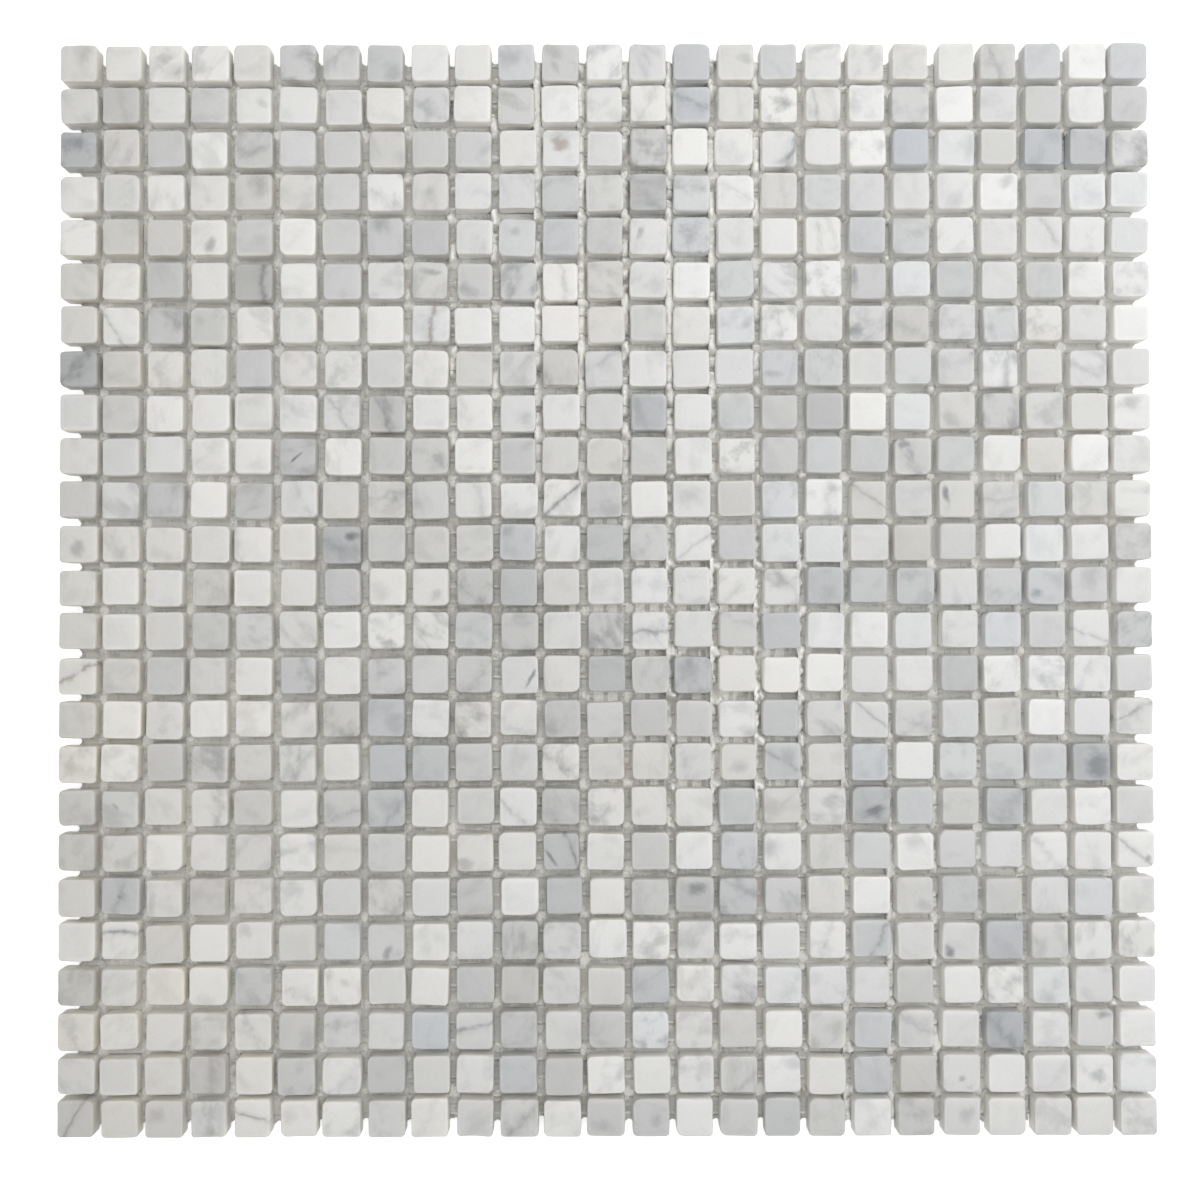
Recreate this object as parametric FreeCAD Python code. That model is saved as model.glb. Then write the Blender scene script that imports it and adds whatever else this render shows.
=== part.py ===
"""Mosaic tile sheet: tumbled marble chips in straight rows, held together by a woven mesh on their backs.

The sheet lies face up. The origin is the middle of the back, X runs along the rows of chips, Y up the
columns and Z out of the faces of the chips. All lengths are in millimetres.
"""
import FreeCAD, Part
import math
import os

Vector = FreeCAD.Vector

# Marble chips
CHIP_COLUMNS = 25
CHIP_ROWS = 25
CHIP_SIDE = 10.0
CHIP_THICKNESS = 8.0
CHIP_EASED_EDGE = 0.8
JOINT_WIDTH = 2.2

# Warp of the mesh: wide flat strands up the sheet, lying outermost on the back
WARP_WIDTH = 1.1
WARP_THICKNESS = 0.3
WARP_PITCH = 3.9

# Weft of the mesh: narrow strands across the sheet, between the warp and the chips
WEFT_WIDTH = 0.5
WEFT_THICKNESS = 0.3
WEFT_PITCH = 5.07

# How far the mesh is trimmed back from the outer faces of the chips
MESH_TRIM_LEFT = 4.7
MESH_TRIM_RIGHT = 2.8
MESH_TRIM_TOP = 4.0
MESH_TRIM_BOTTOM = 3.3

# Places that follow from the sizes above
CHIP_PITCH = CHIP_SIDE + JOINT_WIDTH
SHEET_LENGTH_X = CHIP_COLUMNS * CHIP_PITCH - JOINT_WIDTH
SHEET_LENGTH_Y = CHIP_ROWS * CHIP_PITCH - JOINT_WIDTH
MESH_LEFT = MESH_TRIM_LEFT - SHEET_LENGTH_X / 2
MESH_RIGHT = SHEET_LENGTH_X / 2 - MESH_TRIM_RIGHT
MESH_TOP = SHEET_LENGTH_Y / 2 - MESH_TRIM_TOP
MESH_BOTTOM = MESH_TRIM_BOTTOM - SHEET_LENGTH_Y / 2
WEFT_BACK = WARP_THICKNESS
CHIP_BACK = WEFT_BACK + WEFT_THICKNESS


def make_chip():
    """One square chip centred on the Z axis, its back on the mesh and the edges of its face worn off."""
    corner = Vector(-CHIP_SIDE / 2, -CHIP_SIDE / 2, CHIP_BACK)
    block = Part.makeBox(CHIP_SIDE, CHIP_SIDE, CHIP_THICKNESS, corner)
    face = max(block.Faces, key=lambda side: side.CenterOfMass.z)
    return block.makeChamfer(CHIP_EASED_EDGE, face.Edges)


def chip_places(count, first_sign):
    """Middles of count chips along one direction, from the end on the side of first_sign."""
    first = first_sign * (count - 1) * CHIP_PITCH / 2
    return [first - first_sign * CHIP_PITCH * step for step in range(count)]


def make_row(chip, y):
    """One row of separate chips from left to right, their middles at the height y."""
    chips = []
    for x in chip_places(CHIP_COLUMNS, -1):
        placed = chip.copy()
        placed.translate(Vector(x, y, 0))
        chips.append(placed)
    return Part.makeCompound(chips)


def strand_places(low, high, pitch, width):
    """Middles of the strands that fit whole between low and high, one of them on the sheet's centre line."""
    first = math.ceil((low + width / 2) / pitch)
    last = math.floor((high - width / 2) / pitch)
    return [pitch * step for step in range(first, last + 1)]


def make_warp():
    """The wide strands, which run the full length of the mesh up the sheet."""
    length = MESH_TOP - MESH_BOTTOM
    strands = []
    for x in strand_places(MESH_LEFT, MESH_RIGHT, WARP_PITCH, WARP_WIDTH):
        corner = Vector(x - WARP_WIDTH / 2, MESH_BOTTOM, 0)
        strands.append(Part.makeBox(WARP_WIDTH, length, WARP_THICKNESS, corner))
    return Part.makeCompound(strands)


def make_weft():
    """The narrow strands, which run the full width of the mesh and lie on the warp where they cross it."""
    length = MESH_RIGHT - MESH_LEFT
    strands = []
    for y in strand_places(MESH_BOTTOM, MESH_TOP, WEFT_PITCH, WEFT_WIDTH):
        corner = Vector(MESH_LEFT, y - WEFT_WIDTH / 2, WEFT_BACK)
        strands.append(Part.makeBox(length, WEFT_WIDTH, WEFT_THICKNESS, corner))
    return Part.makeCompound(strands)


def main():
    os.makedirs("parts", exist_ok=True)
    chip = make_chip()
    for number, y in enumerate(chip_places(CHIP_ROWS, 1), start=1):
        make_row(chip, y).exportStep(f"parts/tile_row_{number:02d}.step")
    make_warp().exportStep("parts/mesh_warp.step")
    make_weft().exportStep("parts/mesh_weft.step")


main()
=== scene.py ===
"""Looks of the mosaic tile sheet: tumbled marble chips glued to a glass mesh, seen from above."""

import math

import bpy
import numpy as np
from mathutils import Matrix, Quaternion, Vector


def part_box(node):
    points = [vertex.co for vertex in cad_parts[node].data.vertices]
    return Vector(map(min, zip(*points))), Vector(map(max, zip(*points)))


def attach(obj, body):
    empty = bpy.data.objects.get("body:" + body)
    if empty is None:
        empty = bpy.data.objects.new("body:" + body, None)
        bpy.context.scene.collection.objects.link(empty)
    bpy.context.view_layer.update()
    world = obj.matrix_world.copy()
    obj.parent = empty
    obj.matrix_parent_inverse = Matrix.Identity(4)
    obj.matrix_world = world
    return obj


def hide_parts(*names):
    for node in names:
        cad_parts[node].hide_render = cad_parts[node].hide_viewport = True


MM = 0.001
SEED = 4127

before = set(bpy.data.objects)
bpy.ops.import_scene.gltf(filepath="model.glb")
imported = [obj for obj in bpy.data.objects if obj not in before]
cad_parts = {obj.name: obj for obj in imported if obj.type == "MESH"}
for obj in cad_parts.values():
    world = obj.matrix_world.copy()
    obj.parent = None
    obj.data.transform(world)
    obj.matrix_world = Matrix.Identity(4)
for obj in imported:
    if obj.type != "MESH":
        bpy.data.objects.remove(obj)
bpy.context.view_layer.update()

# Sizes read from the frame, in millimetres
ROW_NODES = sorted(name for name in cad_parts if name.startswith("tile_row_"))
ROW_COUNT = len(ROW_NODES)
FIRST_LOW, FIRST_HIGH = (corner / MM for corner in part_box(ROW_NODES[0]))
SECOND_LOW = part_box(ROW_NODES[1])[0] / MM
SIDE = FIRST_HIGH.y - FIRST_LOW.y
PITCH = FIRST_LOW.y - SECOND_LOW.y
COLUMN_COUNT = round((FIRST_HIGH.x - FIRST_LOW.x - SIDE) / PITCH) + 1
STONE_BACK = FIRST_LOW.z
STONE_FACE = FIRST_HIGH.z
SHEET_HALF = FIRST_HIGH.x
JOINT = PITCH - SIDE
MESH_NODES = ("mesh_warp", "mesh_weft")
MESH_LEFT, MESH_BOTTOM = (min((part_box(name)[0] / MM)[axis] for name in MESH_NODES) for axis in (0, 1))
MESH_RIGHT, MESH_TOP = (max((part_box(name)[1] / MM)[axis] for name in MESH_NODES) for axis in (0, 1))

# How the tumbled chips differ from the straight block, in millimetres and degrees
SIDE_EXTRA = 0.1
SIDE_SPREAD = 0.18
SIDE_LIMIT = 0.42
WANDER_SPREAD = 0.2
DRIFT = 0.2
DRIFT_LENGTH = 15
TURN_SPREAD = 0.7
TILT_SPREAD = 0.35
FACE_DROP = (0.06, 0.24)
CORNER_RADIUS = (0.8, 1.4)
WORN_CORNER_RADIUS = (1.3, 2.1)
WORN_CORNER_SHARE = 0.15
FACE_EDGE_RADIUS = (0.3, 0.6)
FACE_CROWN = (0.2, 0.4)
BACK_EDGE_RADIUS = (0.4, 0.7)
SIDE_BOW = 0.06
WALL_RIPPLE = 0.025
FACE_RELIEF = 0.012

# Wear of the rounded edges, as shares of their radius, and the limits of that radius
EDGE_WANDER = 0.22
EDGE_EXTRA_AT_CORNERS = 0.35
NICKED_SHARE = 0.25
NICK = (0.3, 0.9)
LEAST_FACE_EDGE = 0.15
LEAST_BACK_EDGE = 0.25
LARGEST_EDGE = 0.75
EDGE_TO_CORNER = 0.9

# Points on a chip's outline, on each corner arc and between the arcs, and its rings from back to face
ARC_POINTS = 6
SIDE_POINTS = 3
BACK_ROUND_STEPS = 2
FACE_ROUND_STEPS = 4
WALL_LEVELS = (0.33, 0.67)
FACE_RINGS = (0.84, 0.62, 0.34)
CROWN_POWER = 4

# How often random values round an outline are averaged with their neighbours
WEAR_SMOOTHING = 6
RIPPLE_SMOOTHING = 3
RELIEF_SMOOTHING = 4

rng = np.random.default_rng(SEED)


def spread(low_high, shape):
    """Even random values between two limits."""
    low, high = low_high
    return rng.uniform(low, high, shape)


def drift(count, crest):
    """Slow drift of rows or columns off their even spacing, with a crest at a given one of them."""
    return DRIFT * np.cos(2 * math.pi * (np.arange(count) - crest) / DRIFT_LENGTH)


def chip_traits():
    """Shape and place of every chip, as one array per trait with a row and a column index."""
    grid = (ROW_COUNT, COLUMN_COUNT)
    corners = grid + (4,)

    def sides():
        return SIDE + SIDE_EXTRA + np.clip(rng.normal(0, SIDE_SPREAD, grid), -SIDE_LIMIT, SIDE_LIMIT)

    return {
        "width": sides(),
        "depth": sides(),
        "wander_x": rng.normal(0, WANDER_SPREAD, grid) + drift(COLUMN_COUNT, 8)[None, :],
        "wander_y": rng.normal(0, WANDER_SPREAD, grid) + drift(ROW_COUNT, 0)[:, None],
        "turn": np.radians(rng.normal(0, TURN_SPREAD, grid)),
        "tilt_x": np.radians(rng.normal(0, TILT_SPREAD, grid)),
        "tilt_y": np.radians(rng.normal(0, TILT_SPREAD, grid)),
        "drop": spread(FACE_DROP, grid),
        "corner": np.where(
            rng.random(corners) < WORN_CORNER_SHARE,
            spread(WORN_CORNER_RADIUS, corners),
            spread(CORNER_RADIUS, corners),
        ),
        "face_edge": spread(FACE_EDGE_RADIUS, grid),
        "crown": spread(FACE_CROWN, grid),
        "back_edge": spread(BACK_EDGE_RADIUS, grid),
        "bow": rng.normal(0, SIDE_BOW, corners),
        "nick": rng.random(grid) < NICKED_SHARE,
    }


def smooth_ring(count, passes):
    """Random values round a closed outline, smoothed to a spread of about one."""
    values = rng.normal(0, 1, count)
    for _ in range(passes):
        values = (np.roll(values, 1) + 2 * values + np.roll(values, -1)) / 4
    return values / max(values.std(), 1e-6)


def chip_outline(width, depth, corners, bows):
    """Points, outward normals and corner shares of a rounded rectangle, anticlockwise from the right."""
    points, normals, corner_share = [], [], []
    half = np.array([width / 2, depth / 2])
    quadrants = ((1, -1), (1, 1), (-1, 1), (-1, -1))
    for index, signs in enumerate(quadrants):
        radius = corners[index]
        centre = (half - radius) * np.array(signs)
        start = math.radians(-90 + 90 * index)
        for step in range(ARC_POINTS):
            angle = start + math.pi / 2 * step / (ARC_POINTS - 1)
            normal = np.array([math.cos(angle), math.sin(angle)])
            points.append(centre + radius * normal)
            normals.append(normal)
            corner_share.append(math.sin(math.pi * step / (ARC_POINTS - 1)))
        following = (index + 1) % 4
        next_centre = (half - corners[following]) * np.array(quadrants[following])
        side_start = centre + radius * normal
        side_end = next_centre + corners[following] * normal
        for step in range(1, SIDE_POINTS + 1):
            share = step / (SIDE_POINTS + 1)
            bow = bows[index] * math.sin(math.pi * share)
            points.append(side_start + (side_end - side_start) * share + bow * normal)
            normals.append(normal)
            corner_share.append(0.0)
    return np.array(points), np.array(normals), np.array(corner_share)


def worn_edges(traits, row, column, corner_share):
    """Radii of a chip's rounded face and back edges, all round its outline."""
    wear = 1 + EDGE_WANDER * smooth_ring(len(corner_share), WEAR_SMOOTHING)
    if traits["nick"][row, column]:
        wear[rng.integers(len(wear))] += spread(NICK, None)
    largest = min(traits["corner"][row, column].min() * EDGE_TO_CORNER, LARGEST_EDGE)
    at_face = traits["face_edge"][row, column] * wear * (1 + EDGE_EXTRA_AT_CORNERS * corner_share)
    at_back = traits["back_edge"][row, column] * wear[::-1]
    return np.clip(at_face, LEAST_FACE_EDGE, largest), np.clip(at_back, LEAST_BACK_EDGE, largest)


def chip_rings(traits, row, column, middle_top):
    """Rings of points of a chip from its back to its face, each with its heights."""
    sizes = (traits[name][row, column] for name in ("width", "depth", "corner", "bow"))
    points, normals, corner_share = chip_outline(*sizes)
    count = len(points)
    face_radius, back_radius = worn_edges(traits, row, column, corner_share)
    crown = traits["crown"][row, column]
    top = middle_top - crown

    def rounding(radius, level, upwards, steps):
        made = []
        for angle in np.linspace(0, math.pi / 2, steps + 1):
            inset = radius * (1 - math.sin(angle))
            rise = radius * (1 - math.cos(angle))
            made.append((points - normals * inset[:, None], level + upwards * rise))
        return made

    rings = rounding(back_radius, STONE_BACK, 1, BACK_ROUND_STEPS)
    wall_low, wall_high = rings[-1][1], top - face_radius
    for share in WALL_LEVELS:
        ripple = WALL_RIPPLE * smooth_ring(count, RIPPLE_SMOOTHING)
        rings.append((points + normals * ripple[:, None], wall_low + (wall_high - wall_low) * share))
    rings.extend(reversed(rounding(face_radius, top, -1, FACE_ROUND_STEPS)))
    even_edge = points - normals * face_radius.mean()
    for share in FACE_RINGS:
        relief = FACE_RELIEF * smooth_ring(count, RELIEF_SMOOTHING)
        rings.append((even_edge * share, top + crown * (1 - share ** CROWN_POWER) + relief))
    return rings


def tilted(vertices, slope_x, slope_y):
    """A chip with its face tilted and its back left flat, and nothing of it above the straight block."""
    lift = slope_x * vertices[:, 0] + slope_y * vertices[:, 1]
    share_up = (vertices[:, 2] - STONE_BACK) / (STONE_FACE - STONE_BACK)
    height = np.minimum(vertices[:, 2] + lift * share_up, STONE_FACE)
    return np.column_stack([vertices[:, :2], height])


def chip_points(traits, row, column):
    """Vertices of a chip about its middle, how many a ring has, and which are on its face's edge."""
    middle_top = STONE_FACE - traits["drop"][row, column]
    rings = chip_rings(traits, row, column, middle_top)
    count = len(rings[0][0])
    vertices = [np.array([[0.0, 0.0, STONE_BACK]])]
    for flat, height in rings:
        vertices.append(np.column_stack([flat, height]))
    vertices.append(np.array([[0.0, 0.0, middle_top]]))
    slope_x = np.tan(traits["tilt_x"][row, column])
    slope_y = np.tan(traits["tilt_y"][row, column])
    on_edge = np.zeros(len(rings))
    first = len(rings) - len(FACE_RINGS) - FACE_ROUND_STEPS
    on_edge[first:first + FACE_ROUND_STEPS] = 1
    edge = np.concatenate([[0.0], np.repeat(on_edge, count), [0.0]])
    return tilted(np.vstack(vertices), slope_x, slope_y), count, edge


def chip_faces(point_count, ring_count):
    """Faces over rings of points, with a fan at the back and one at the face."""
    steps = [(k, (k + 1) % point_count) for k in range(point_count)]
    last = 1 + (ring_count - 1) * point_count
    faces = [(0, 1 + after, 1 + k) for k, after in steps]
    for low in range(1, last, point_count):
        high = low + point_count
        faces.extend((low + k, low + after, high + after, high + k) for k, after in steps)
    faces.extend((last + k, last + after, last + point_count) for k, after in steps)
    return faces


def turned(points, angle):
    """Points turned about the upright axis."""
    cosine, sine = math.cos(angle), math.sin(angle)
    x = points[:, 0] * cosine - points[:, 1] * sine
    y = points[:, 0] * sine + points[:, 1] * cosine
    return np.column_stack([x, y, points[:, 2]])


def add_values(mesh, name, values):
    """Stores one number or one vector per vertex on a mesh, for its material to read."""
    values = np.asarray(values, np.float32)
    kind, field = ("FLOAT", "value") if values.ndim == 1 else ("FLOAT_VECTOR", "vector")
    layer = mesh.attributes.new(name, kind, "POINT")
    layer.data.foreach_set(field, values.ravel())


def make_object(name, vertices, faces, material, values=None):
    """A smooth-shaded mesh object at the origin, from vertices in millimetres."""
    mesh = bpy.data.meshes.new(name)
    mesh.from_pydata((np.asarray(vertices) * MM).tolist(), [], faces)
    mesh.update()
    mesh.polygons.foreach_set("use_smooth", [True] * len(mesh.polygons))
    for key, data in (values or {}).items():
        add_values(mesh, key, data)
    mesh.materials.append(material)
    made = bpy.data.objects.new(name, mesh)
    bpy.context.scene.collection.objects.link(made)
    return made


# Marks picked out on the photograph: chip column and row, counted from the top left
VEIN_VALUES = ("vein_turn", "vein_shift", "vein_width", "vein")
VEINS = (
    # column, row, direction in degrees, offset and half width in millimetres, strength
    (16, 2, 70, -3.4, 0.8, 1.1), (1, 20, 0, 2.2, 0.5, 1.3), (19, 9, 114, 1.0, 0.9, 0.9),
    (11, 10, 42, -0.5, 0.5, 1.3), (8, 6, 82, -0.3, 0.6, 1.0), (4, 24, 163, -0.7, 0.4, 0.9),
    (14, 11, 35, -1.0, 0.4, 0.5), (11, 18, 114, -2.9, 0.4, 1.0), (18, 20, 62, -1.8, 0.7, 0.7),
    (3, 17, 90, -2.6, 1.2, 0.6), (0, 24, 60, 0.5, 0.4, 0.7), (9, 22, 14, 1.0, 0.5, 0.9),
    (11, 5, 95, -0.8, 0.6, 0.6), (13, 13, 5, -0.3, 0.9, 0.9), (0, 14, 27, 0.9, 0.6, 0.8),
    (16, 16, 150, 0.0, 0.5, 0.5), (4, 5, 90, -2.7, 0.7, 0.8), (18, 10, 145, -1.0, 0.4, 0.6),
    (0, 7, 45, 0.5, 1.4, 0.6), (24, 15, 27, 1.4, 0.6, 0.8), (24, 18, 140, 0.6, 0.4, 0.7),
    (18, 15, 140, -1.3, 0.35, 0.6), (23, 13, 160, 1.9, 0.4, 0.6), (1, 6, 120, 2.2, 0.5, 0.7),
    (6, 8, 125, 0.6, 0.8, 0.6), (4, 22, 118, 0.3, 0.7, 0.6), (7, 8, 100, 0.4, 0.8, 0.6),
    (10, 17, 140, 2.2, 0.6, 0.5), (7, 10, 15, 1.0, 1.4, 0.5), (17, 1, 100, 2.0, 0.5, 0.5),
)
SPOT_VALUES = ("spot_x", "spot_y", "spot_a", "spot_b", "spot_turn", "spot")
SPOTS = (
    # column, row, place and half sizes in millimetres, turn in degrees, strength
    (19, 9, -2.3, 3.3, 1.6, 1.2, 0, 0.9), (20, 10, -3.1, 1.0, 0.8, 2.1, 10, 1.1),
    (18, 17, 1.1, -1.5, 2.4, 1.8, 0, 1.0), (20, 20, -3.0, -2.7, 1.3, 1.7, 0, 1.2),
    (10, 14, 3.0, -1.0, 0.5, 1.9, -30, 1.2), (3, 4, 0.6, -2.5, 1.1, 2.0, -20, 0.8),
    (23, 22, 1.9, 3.6, 2.0, 1.1, 0, 0.9), (18, 6, -3.1, -1.9, 1.7, 2.2, 0, 0.8),
    (11, 2, -0.6, 1.3, 2.4, 1.8, -35, 0.8), (1, 19, 0.1, 0.0, 0.8, 0.8, 0, 0.8),
    (11, 18, -3.0, -1.3, 0.5, 2.5, 35, 0.9), (13, 4, -2.2, 0.9, 0.7, 1.6, -25, 0.7),
    (6, 11, 2.6, 2.2, 1.5, 1.1, 0, 1.0), (22, 12, -2.5, -2.0, 1.5, 1.5, 0, 0.6),
    (5, 9, -0.5, -0.4, 0.35, 2.1, -48, 1.2), (20, 23, 0.0, -1.5, 0.9, 0.9, 0, 0.7),
    (24, 18, 3.2, -2.4, 0.8, 1.1, 0, 1.0), (0, 11, -0.4, -1.2, 1.8, 2.2, 0, 0.6),
    (23, 23, 0.6, -0.4, 2.1, 1.6, -20, 0.7), (23, 16, 1.6, -0.8, 2.9, 3.6, 20, 0.7),
    (16, 2, 1.0, -3.6, 1.8, 1.2, 0, 0.5), (9, 18, -3.0, -3.2, 2.2, 1.6, 0, 0.6),
    (13, 2, -1.6, 1.4, 2.2, 1.0, 0, 0.5), (24, 8, -0.6, 2.6, 2.6, 1.6, 15, 0.6),
    (8, 5, 0.2, 2.4, 3.0, 0.8, -10, 0.6), (14, 19, 0.6, 1.9, 2.0, 1.6, 0, 0.8),
    (18, 5, -3.9, 1.0, 0.9, 2.6, 0, 0.7), (7, 20, 0.4, -2.9, 0.8, 1.7, -30, 0.8),
    (8, 9, 2.4, -1.2, 1.6, 2.2, 0, 0.6), (1, 17, -1.2, 0.9, 1.2, 0.5, -35, 0.6),
)
RUSTY = ((11, 2, 0.75), (0, 14, 0.8), (8, 6, 0.45))
DARK = (
    (22, 2), (23, 2), (23, 16), (13, 8), (20, 14), (0, 2), (10, 11), (21, 17), (19, 2), (17, 12),
    (21, 20), (21, 22), (8, 4), (7, 8), (14, 19), (17, 8), (13, 3), (14, 14), (5, 9), (4, 5),
    (0, 7), (6, 11), (18, 17), (11, 18),
)
WHITE = (
    (3, 8), (18, 8), (19, 16), (11, 6), (7, 6), (15, 14), (20, 21), (6, 6), (21, 23), (10, 6), (8, 18),
    (13, 23), (1, 12),
)
WARM = ((2, 7), (0, 22), (2, 21), (6, 16), (0, 16), (15, 14))

# Brightness of the stone in the picture, from 0 to 1, with a painted shadow that greys the chips near the
# middle of the sheet
STONE_LEVEL = 0.829
STONE_SPREAD = 0.07
MIDDLE_PAINTED_SHADE = -0.045
MIDDLE_SHADE_PLACE = (0.47, 0.6)
MIDDLE_SHADE_REACH = 0.13
DARK_LEVEL = (0.702, 0.752)
WHITE_LEVEL = (0.87, 0.888)
WARM_LEVEL = 0.855
RUSTY_LEVEL = 0.86

# Coolness of the stone, which is how far its blue lies above its red, and the brightness it goes with
STONE_TINT = -0.0035
GREY_TINT = 0.019
GREY_LEVELS = (0.8, 0.72)
WHITE_TINT = -0.003
WHITE_LEVELS = (0.82, 0.88)
WARM_TINT = -0.012
# Painted warm light: the stone is made warmer towards the left of the sheet, and more so lower down.
LEFT_PAINTED_WARM_LIGHT = -0.018
LEFT_PAINTED_LIGHT_DOWN = 0.5
TINT_SPREAD = 0.0088
TINT_SPREAD_LEVELS = (0.93, 0.81)
LEAST_TINT_SPREAD = 0.45

# Random clouds, veins and spots, in millimetres
CLOUD_STRENGTH = 0.86
CLOUD_SPREAD = 0.66
CLOUD_LIMITS = (0.15, 3.2)
WHITE_CLOUD = 0.25
VEINED_SHARE = 0.14
VEIN_STRENGTH = (0.15, 0.5)
VEIN_SHIFT = 2.4
VEIN_WIDTH = (0.6, 1.5)
SPOTTED_SHARE = 0.16
SPOT_STRENGTH = (0.15, 0.45)
SPOT_PLACE = (-4, 4)
SPOT_HALF = (0.9, 3.0)
SPOT_RISE = 0.2
PATTERN_STRETCH = (1.0, 1.0, 0.5)
PATTERN_REACH = 60
ANY_TURN = (0, 180)


def share_between(start, end, value):
    """How far a value is on its way from start to end, from 0 to 1."""
    return np.clip((value - start) / (end - start), 0, 1)


def smoothstep(start, end, value):
    """How far a value is on its way from start to end, with a soft start and end."""
    share = share_between(start, end, value)
    return share * share * (3 - 2 * share)


def varied(least_and_extra, share):
    """The least value and a share of what can come on top of it."""
    least, extra = least_and_extra
    return least + extra * share


def stone_colours():
    """Brightness, coolness, clouding and marks of every chip, with painted shade near the middle of the
    sheet and painted warm light towards its left.
    """
    grid = (ROW_COUNT, COLUMN_COUNT)
    right, down = np.meshgrid(np.linspace(0, 1, COLUMN_COUNT), np.linspace(0, 1, ROW_COUNT))
    from_middle = (right - MIDDLE_SHADE_PLACE[0]) ** 2 + (down - MIDDLE_SHADE_PLACE[1]) ** 2
    level = STONE_LEVEL + STONE_SPREAD * rng.uniform(-1, 1, grid)
    # Painted shadow: the chips near the middle of the sheet are made greyer.
    level += MIDDLE_PAINTED_SHADE * np.exp(-from_middle / (2 * MIDDLE_SHADE_REACH ** 2))
    looks = {
        "level": level,
        "cloud": np.clip(CLOUD_STRENGTH * np.exp(rng.normal(0, CLOUD_SPREAD, grid)), *CLOUD_LIMITS),
        "vein": np.where(rng.random(grid) < VEINED_SHARE, spread(VEIN_STRENGTH, grid), 0.0),
        "vein_turn": spread(ANY_TURN, grid),
        "vein_shift": rng.normal(0, VEIN_SHIFT, grid),
        "vein_width": spread(VEIN_WIDTH, grid),
        "spot": np.where(rng.random(grid) < SPOTTED_SHARE, spread(SPOT_STRENGTH, grid), 0.0),
        "spot_x": spread(SPOT_PLACE, grid),
        "spot_y": spread(SPOT_PLACE, grid),
        "spot_a": spread(SPOT_HALF, grid),
        "spot_b": spread(SPOT_HALF, grid),
        "spot_turn": spread(ANY_TURN, grid),
        "rust": np.zeros(grid),
    }
    for column, row in DARK:
        level[row, column] = spread(DARK_LEVEL, None)
    for column, row in WHITE:
        level[row, column] = spread(WHITE_LEVEL, None)
        looks["cloud"][row, column] = WHITE_CLOUD
        looks["vein"][row, column] = looks["spot"][row, column] = 0.0
    tint_spread = TINT_SPREAD * np.maximum(share_between(*TINT_SPREAD_LEVELS, level), LEAST_TINT_SPREAD)
    cool = STONE_TINT + rng.normal(0, 1, grid) * tint_spread
    cool += GREY_TINT * share_between(*GREY_LEVELS, level)
    cool += WHITE_TINT * share_between(*WHITE_LEVELS, level)
    # Painted warm light towards the left of the sheet, stronger lower down.
    cool += LEFT_PAINTED_WARM_LIGHT * (1 - right) ** 2 * (1 + LEFT_PAINTED_LIGHT_DOWN * (down - 0.5))
    looks["cool"] = cool
    for column, row in WARM:
        cool[row, column] += WARM_TINT
        level[row, column] = WARM_LEVEL
    for names, marks in ((VEIN_VALUES, VEINS), (SPOT_VALUES, SPOTS), (("rust",), RUSTY)):
        for column, row, *values in marks:
            for name, value in zip(names, values):
                looks[name][row, column] = value
    for column, row, _ in RUSTY:
        level[row, column] = RUSTY_LEVEL
    return looks


def chip_values(local, edge, looks, row, column):
    """What the marble material reads at the vertices of one chip."""
    def look(name):
        return looks[name][row, column]

    def same(*names):
        return np.tile([look(name) for name in names], (len(local), 1))

    across = turned(local, -math.radians(look("vein_turn")))[:, [1, 0, 2]]
    across[:, 0] = (across[:, 0] - look("vein_shift")) / look("vein_width")
    moved = local - np.array([look("spot_x"), look("spot_y"), STONE_FACE])
    spot = turned(moved, -math.radians(look("spot_turn")))
    spot *= np.array([1 / look("spot_a"), 1 / look("spot_b"), SPOT_RISE])
    turn = Quaternion(rng.normal(0, 1, 4)).normalized().to_matrix()
    pattern = local @ np.array(turn).T * np.array(PATTERN_STRETCH)
    return {
        "stone_place": pattern + rng.uniform(-PATTERN_REACH, PATTERN_REACH, 3),
        "stone_look": same("level", "cool", "cloud"),
        "stone_marks": same("vein", "spot", "rust"),
        "vein_place": across,
        "spot_place": spot,
        # Depth below the face and the rim share, which the material reads for its painted light on the
        # sides and rims.
        "stone_side": np.column_stack([STONE_FACE - local[:, 2], edge, 0 * edge]),
    }


def column_middle(column):
    """Middle of a column of chips, to the right of the sheet's middle."""
    return FIRST_LOW.x + SIDE / 2 + PITCH * column


def make_row(row, traits, looks, material):
    """One row of loose chips as one joined mesh, kept inside the outline of the straight blocks."""
    vertices, faces, values, start = [], [], [], 0
    y_middle = FIRST_LOW.y + SIDE / 2 - PITCH * row
    for column in range(COLUMN_COUNT):
        local, count, edge = chip_points(traits, row, column)
        placed = turned(local, traits["turn"][row, column])
        placed[:, 0] += column_middle(column) + traits["wander_x"][row, column]
        placed[:, 1] += y_middle + traits["wander_y"][row, column]
        for axis in (0, 1):
            past_high = max(placed[:, axis].max() - SHEET_HALF, 0)
            past_low = max(-SHEET_HALF - placed[:, axis].min(), 0)
            placed[:, axis] -= past_high - past_low
        rings = (len(local) - 2) // count
        vertices.append(placed)
        faces.extend(tuple(index + start for index in face) for face in chip_faces(count, rings))
        start += len(placed)
        values.append(chip_values(local, edge, looks, row, column))
    merged = {key: np.concatenate([chip[key] for chip in values]) for key in values[0]}
    name = ROW_NODES[row].replace("tile", "stone")
    made = make_object(name, np.vstack(vertices), faces, material, merged)
    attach(made, "root")
    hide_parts(ROW_NODES[row])


# Smooth random fields over the sheet: the size of their features and how far they reach past it
FIELD_CELLS = {"coarse": 3.2, "middle": 1.3, "fine": 0.62}
FIELD_MARGIN = 6.0


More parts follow.
